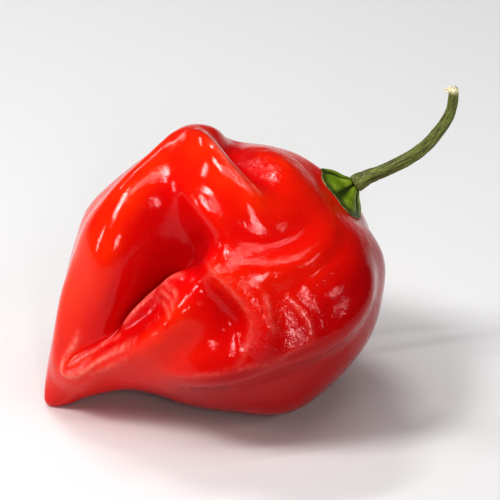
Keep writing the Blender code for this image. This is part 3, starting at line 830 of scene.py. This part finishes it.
def calyx_leaf():
    """The calyx's leaf tissue with its dried edge."""
    material, tree, shader = new_material("green_calyx_leaf")
    place = add_node(tree, "ShaderNodeTexCoord").outputs["Object"]
    rim = add_node(tree, "ShaderNodeAttribute", attribute_name="rim").outputs["Fac"]
    speckle = add_node(tree, "ShaderNodeTexNoise", {"Scale": 1 / SPECKLE_SIZE, "Detail": 4},
                       {"Vector": place})
    frayed = add_node(tree, "ShaderNodeMath", {1: FRAYED}, {0: speckle.outputs["Fac"], 2: rim},
                      operation="MULTIPLY_ADD").outputs[0]
    at_edge = add_node(tree, "ShaderNodeMapRange", DRIED_EDGE, {"Value": frayed})
    edged = add_node(tree, "ShaderNodeMix", {7: EDGE_TAN},
                     {0: at_edge.outputs[0], 6: leaf_green(tree, place, frayed)}, data_type="RGBA")
    tree.links.new(edged.outputs[2], shader.inputs["Base Color"])
    bump = add_node(tree, "ShaderNodeBump", {"Strength": 1, "Distance": SPECKLE_DEPTH},
                    {"Height": speckle.outputs["Fac"]})
    tree.links.new(bump.outputs["Normal"], shader.inputs["Normal"])
    shader.inputs["Roughness"].default_value = LEAF_ROUGHNESS
    return material


calyx.data.materials.append(calyx_leaf())
print("calyx:", calyx.data.materials[0].name)

# %% [markdown]
# ### Woody stalk
#
# The stalk is green bark on wood, in streaks of olive and brown, with small pale breathing pores. It
# grew matt and fibrous, so its lights are broad and dull. Object coordinates would run the streaks
# straight through the bends, so the pattern reads the place that was kept at each vertex, round the
# stalk and along it, and is stretched lengthwise. Where the stalk is torn, cream-coloured wood shows.

# %% Stalk material
STREAK_OLIVE = linear("#808C46")
STREAK_BROWN = linear("#4C4A20")
PORE_PALE = linear("#B5B288")
TORN_CREAM = linear("#EFE6C2")
# The pattern is measured in radii, of about 1 mm, round the stalk and in mm along it. So the streaks
# are about 0.3 mm wide and 3 mm long, and there is a pore about every 0.5 mm.
STREAK_STRETCH = (2.2, 2.2, 0.25)
STREAKS = 1.4
BARK_PORES = 2.2
BARK_DEPTH = 0.12 * MM
BARK_ROUGHNESS = 0.6
STREAK_EDGE = {"From Min": 0.38, "From Max": 0.62}
PORE_EDGE = {"From Min": 0.22, "From Max": 0.1}


def stalk_bark():
    """Green bark with streaks and pores, and bare wood at the torn end."""
    material, tree, shader = new_material("olive_stalk_bark")
    grain = add_node(tree, "ShaderNodeAttribute", attribute_name="grain").outputs["Vector"]
    torn = add_node(tree, "ShaderNodeAttribute", attribute_name="torn").outputs["Fac"]
    stretched = add_node(tree, "ShaderNodeMapping", {"Scale": STREAK_STRETCH}, {"Vector": grain})
    streaks = add_node(tree, "ShaderNodeTexNoise", {"Scale": STREAKS, "Detail": 4, "Roughness": 0.6},
                       {"Vector": stretched.outputs[0]})
    share = add_node(tree, "ShaderNodeMapRange", STREAK_EDGE, {"Value": streaks.outputs["Fac"]})
    bark = add_node(tree, "ShaderNodeMix", {6: STREAK_BROWN, 7: STREAK_OLIVE}, {0: share.outputs[0]},
                    data_type="RGBA")
    pores = add_node(tree, "ShaderNodeTexVoronoi", {"Scale": BARK_PORES}, {"Vector": grain})
    pore = add_node(tree, "ShaderNodeMapRange", PORE_EDGE, {"Value": pores.outputs["Distance"]})
    speckled = add_node(tree, "ShaderNodeMix", {7: PORE_PALE}, {0: pore.outputs[0], 6: bark.outputs[2]},
                        data_type="RGBA")
    wood = add_node(tree, "ShaderNodeMix", {7: TORN_CREAM}, {0: torn, 6: speckled.outputs[2]},
                    data_type="RGBA")
    tree.links.new(wood.outputs[2], shader.inputs["Base Color"])
    bump = add_node(tree, "ShaderNodeBump", {"Strength": 1, "Distance": BARK_DEPTH},
                    {"Height": streaks.outputs["Fac"]})
    tree.links.new(bump.outputs["Normal"], shader.inputs["Normal"])
    shader.inputs["Roughness"].default_value = BARK_ROUGHNESS
    return material


stalk.data.materials.append(stalk_bark())
print("stalk:", stalk.data.materials[0].name)

# %% [markdown]
# ## Places in the imported model
#
# The real pepper is one rigid body, with three kinds of surface. So each fine piece rides on that
# body and stands for its imported node, which is hidden.

# %% The pieces stand for the imported nodes
for piece, node, slot in ((fruit, "fruit", "skin"), (calyx, "calyx", "calyx"), (stalk, "stem", "stem")):
    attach(piece, "root")
    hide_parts(node)
print("pieces:", fruit.name, calyx.name, stalk.name)

# %% [markdown]
# ## The table
#
# The object stands on a plain pale table, like a sheet of matt paper. A curved backdrop would do the
# same in this narrow view, but a flat square is enough: nothing of its edge is seen.

# %% Table
TABLE_PALE = linear("#E4E4E4")
TABLE_SIDE = 3
TABLE_ROUGHNESS = 0.7


def make_table():
    """A flat square below the object that belongs to the stage."""
    shape = bmesh.new()
    bmesh.ops.create_grid(shape, x_segments=2, y_segments=2, size=TABLE_SIDE / 2)
    table = new_piece("table", shape)
    material, tree, shader = new_material("pale_matt_table")
    shader.inputs["Base Color"].default_value = TABLE_PALE
    shader.inputs["Roughness"].default_value = TABLE_ROUGHNESS
    table.data.materials.append(material)


make_table()
print("table:", TABLE_SIDE, "m square")

# %% [markdown]
# ## The light
#
# A glossy form is read from what it mirrors, and point lamps would leave it dull. So every light is a
# panel: a key high on the left, which also casts the shadow, and narrow strips that draw long thin
# lights on the ridges, one at the left, two overhead, one at the right and one at the back left. Two
# small panels in front, side by side, light the crinkled panel, and one behind lights the crown. A
# high contrast look keeps the reds deep.

# %% Lights
# The middle of the object, in metres
AIM = Vector((0, 0, 0.02))
# Each panel's name, place in metres, width and height in metres, and power in watts
PANELS = [
    ("high key panel", (-0.35, -0.17, 0.58), 0.17, 0.17, 1.6),
    ("left strip", (-0.58, -0.06, 0.21), 0.025, 0.22, 0.5),
    ("top strip one", (0.03, -0.19, 0.60), 0.54, 0.014, 0.44),
    ("top strip two", (0.03, -0.10, 0.62), 0.54, 0.014, 0.44),
    ("front panel one", (0.0, -0.52, 0.29), 0.035, 0.12, 0.3),
    ("front panel two", (0.08, -0.52, 0.29), 0.035, 0.12, 0.3),
    ("right strip", (0.38, -0.22, 0.28), 0.24, 0.014, 0.2),
    ("back panel", (-0.12, 0.25, 0.56), 0.18, 0.06, 0.6),
    ("back left strip", (-0.34, 0.36, 0.38), 0.30, 0.014, 0.3),
]
ROOM_LIGHT = 0.06
WHITE = linear("#FFFFFF")


def add_panel(name, place, width, height, power):
    """A rectangular area light that faces AIM."""
    light = bpy.data.lights.new(name, "AREA")
    light.shape = "RECTANGLE"
    light.size = width
    light.size_y = height
    light.energy = power
    panel = bpy.data.objects.new(name, light)
    panel.location = place
    panel.rotation_mode = "QUATERNION"
    panel.rotation_quaternion = (Vector(place) - AIM).to_track_quat("Z", "Y")
    bpy.context.scene.collection.objects.link(panel)


for panel in PANELS:
    add_panel(*panel)
room = bpy.data.worlds.new("room")
room.use_nodes = True
background = room.node_tree.nodes["Background"]
background.inputs["Strength"].default_value = ROOM_LIGHT
background.inputs["Color"].default_value = WHITE
bpy.context.scene.world = room
bpy.context.scene.view_settings.view_transform = "Standard"
bpy.context.scene.view_settings.look = "High Contrast"
print("panels:", len(PANELS))

# %% [markdown]
# ## Camera
#
# The camera looks at the object from 28 degrees above the table, as the picture it is matched with
# does, and far enough away that the near and far sides hardly differ in scale. It could be aimed by
# eye, but one named point settles it: the seat of the calyx has to fall on its own pixel.

# %% Camera
# Pixels of the square picture that the view is matched with, and how much larger the object is here
IMAGE_PIXELS = 500
SEAT_PIXEL = np.array([157, 174])
CENTRE_PIXEL = np.array([112, 202])
MM_PER_PIXEL = 0.34
ZOOM = 2.1
# In mm
CAMERA_DISTANCE = 480
SENSOR_WIDTH = 36
NEAREST_SEEN = 10


def make_camera():
    """A camera at the picture's angle, with CENTRE_PIXEL in the middle of its view."""
    across, down = (CENTRE_PIXEL - SEAT_PIXEL) * MM_PER_PIXEL
    centre = SEAT + across * PICTURE_RIGHT - down * PICTURE_UP
    camera = bpy.data.objects.new("camera", bpy.data.cameras.new("camera"))
    camera.data.sensor_width = SENSOR_WIDTH
    camera.data.lens = SENSOR_WIDTH * CAMERA_DISTANCE / (IMAGE_PIXELS / ZOOM * MM_PER_PIXEL)
    camera.location = Vector((centre + TO_EYE * CAMERA_DISTANCE) * MM)
    camera.rotation_mode = "QUATERNION"
    camera.rotation_quaternion = Vector(TO_EYE).to_track_quat("Z", "Y")
    camera.data.clip_start = NEAREST_SEEN * MM
    bpy.context.scene.collection.objects.link(camera)
    bpy.context.scene.camera = camera
    return camera


camera = make_camera()
print("lens:", round(camera.data.lens), "mm")
